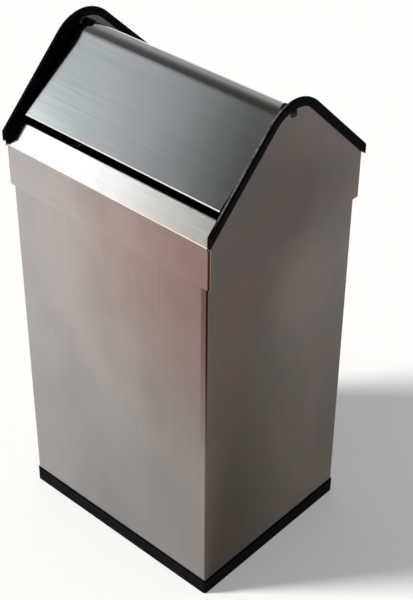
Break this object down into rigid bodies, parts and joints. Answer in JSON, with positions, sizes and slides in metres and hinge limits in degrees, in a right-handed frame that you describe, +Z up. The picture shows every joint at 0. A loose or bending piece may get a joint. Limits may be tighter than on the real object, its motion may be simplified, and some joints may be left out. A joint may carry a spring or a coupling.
{
  "type": "swing-top waste bin",
  "caption": "Small rectangular waste bin in folded stainless sheet: a black base channel, a lift-off gabled head, a V-shaped swing flap and a lift-out inner bucket with a wire bail.",
  "frame": {"origin": "on the floor, under the middle of the body", "axes": "+X along the flap's ridge from the left gable to the right one, -Y towards the front, +Z up"},
  "size_m": [0.2108, 0.1696, 0.4236],
  "materials": {
    "stainless_body": "fine brushed stainless sheet",
    "stainless_head": "fine brushed stainless sheet",
    "stainless_flap": "fine brushed stainless sheet",
    "black_channel": "black, satin",
    "black_trim": "black ribbed edge trim",
    "black_cheek": "black moulded plastic",
    "bucket_metal": "plain sheet, dull",
    "bright_hardware": "bright zinc plate"
  },
  "bodies": {
    "bin": {"body_shell": "stainless_body", "bottom_pan": "stainless_body", "base_channel": "black_channel"},
    "head": {"front_panel": "stainless_head", "rear_panel": "stainless_head", "gable_left": "stainless_head", "gable_right": "stainless_head", "edge_trim_left": "black_trim", "edge_trim_right": "black_trim", "seat_rail_front": "stainless_head", "seat_rail_rear": "stainless_head", "pivot_screw_left": "bright_hardware", "pivot_screw_right": "bright_hardware", "pivot_nut_left": "bright_hardware", "pivot_nut_right": "bright_hardware", "pivot_washer_left": "bright_hardware", "pivot_washer_right": "bright_hardware"},
    "flap": {"flap_sheet": "stainless_flap", "flap_cheek_left": "black_cheek", "flap_cheek_right": "black_cheek"},
    "bucket": {"inner_bucket": "bucket_metal", "bucket_ear_left": "bright_hardware", "bucket_ear_right": "bright_hardware", "ear_rivets": "bright_hardware"},
    "bail": {"bucket_bail": "bright_hardware"}
  },
  "joints": [
    {"name": "head_lift", "type": "slide", "parent": "bin", "child": "head", "axis": [0, 0, 1], "range_m": [0, 0.62]},
    {"name": "flap_swing", "type": "hinge", "parent": "head", "child": "flap", "pos_m": [0, 0, 0.4133], "axis": [1, 0, 0], "continuous": true},
    {"name": "bucket_lift", "type": "slide", "parent": "bin", "child": "bucket", "axis": [0, 0, 1], "range_m": [0, 0.31]},
    {"name": "bail_swing", "type": "hinge", "parent": "bucket", "child": "bail", "pos_m": [0, 0, 0.3216], "axis": [-1, 0, 0], "range_deg": [0, 180]}
  ],
  "couplings": [
    {"joint": "bucket_lift", "follows": "head_lift", "ratio": 0.5}
  ]
}
